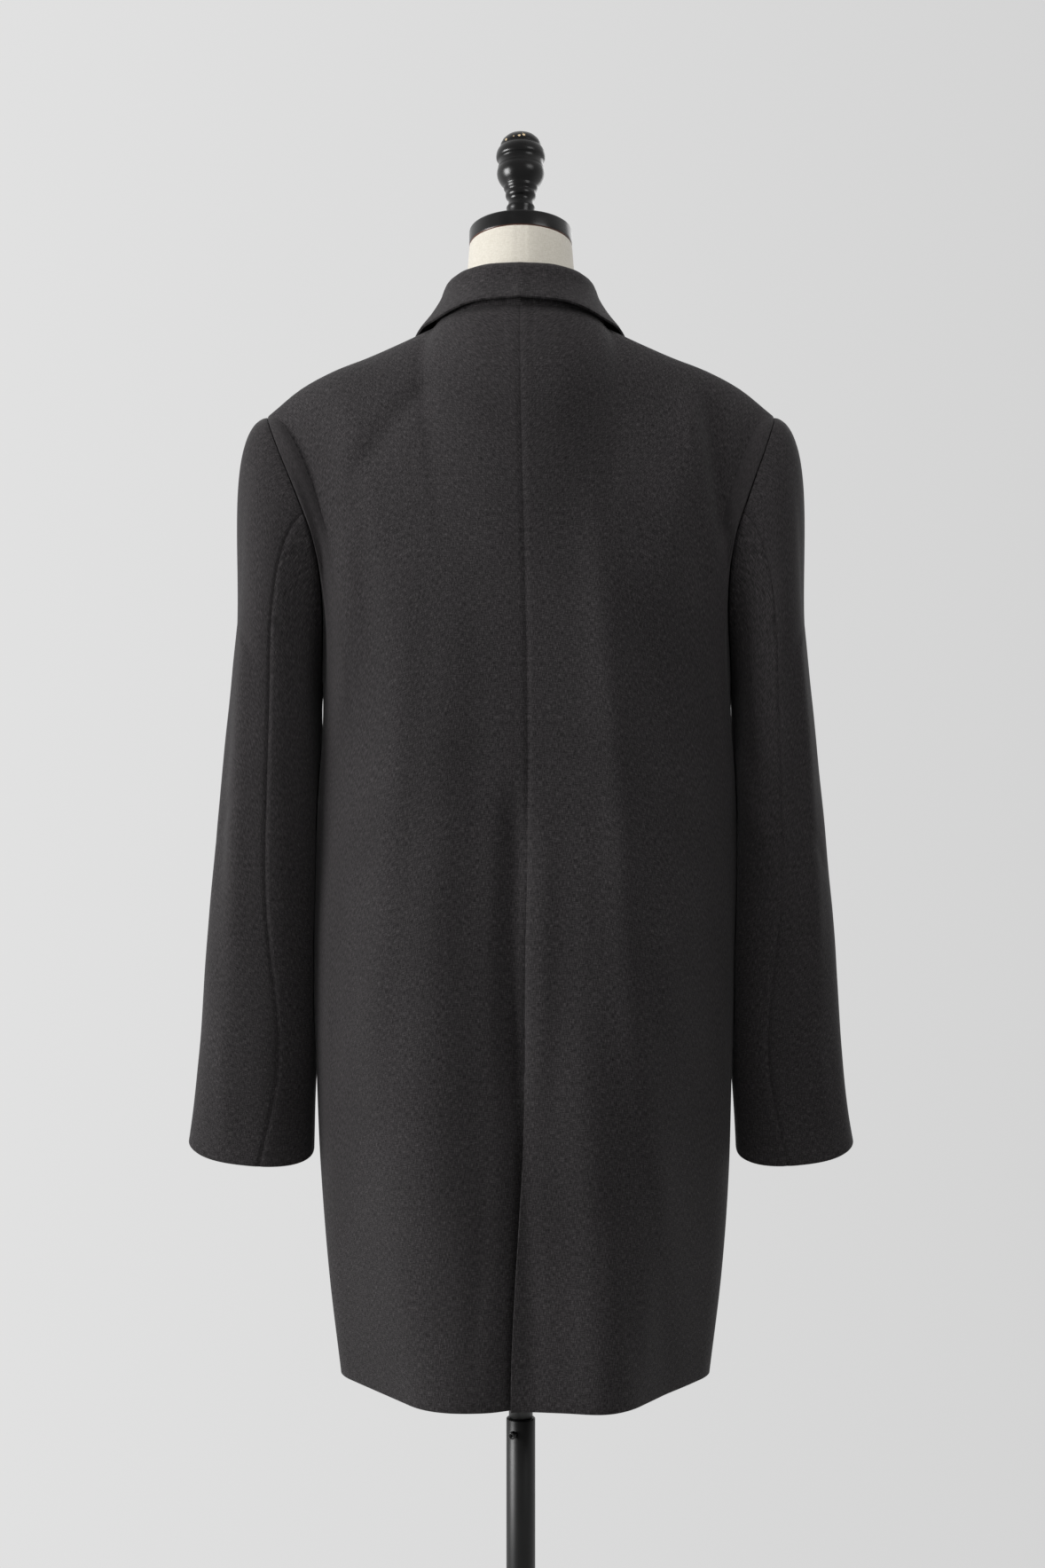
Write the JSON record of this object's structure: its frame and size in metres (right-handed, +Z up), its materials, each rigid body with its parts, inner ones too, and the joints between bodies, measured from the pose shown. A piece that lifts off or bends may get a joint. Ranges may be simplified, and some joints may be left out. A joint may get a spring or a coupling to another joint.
{
  "type": "tailored jacket on a limbless dress form with a stand",
  "caption": "Long tailored jacket with notched lapels and a centre back vent, worn on a limbless dress form on a pole stand.",
  "frame": {"origin": "centre of the base plate's underside, on the floor", "axes": "+Z up along the pole, -Y to the jacket's front, +X to the wearer's left"},
  "size_m": [0.5864, 0.35, 1.585],
  "materials": {
    "wool_twill": "charcoal melange wool twill",
    "linen": "cream linen stretched over the form",
    "black_lacquer": "turned wood with black lacquer, worn at the rim",
    "black_steel": "satin black coated steel",
    "horn": "dark horn-like buttons"
  },
  "bodies": {
    "root": {"back_left": "wool_twill", "back_right": "wool_twill", "front_left": "wool_twill", "front_right": "wool_twill", "lapel_left": "wool_twill", "lapel_right": "wool_twill", "collar": "wool_twill", "upper_sleeve_left": "wool_twill", "upper_sleeve_right": "wool_twill", "under_sleeve_left": "wool_twill", "under_sleeve_right": "wool_twill", "button_top": "horn", "button_low": "horn", "form_torso": "linen", "neck_cap": "black_lacquer", "finial": "black_lacquer", "base_plate": "black_steel", "pole_socket": "black_steel", "pole_outer": "black_steel", "pole_inner": "black_steel", "lock_screw": "black_steel"}
  },
  "joints": []
}
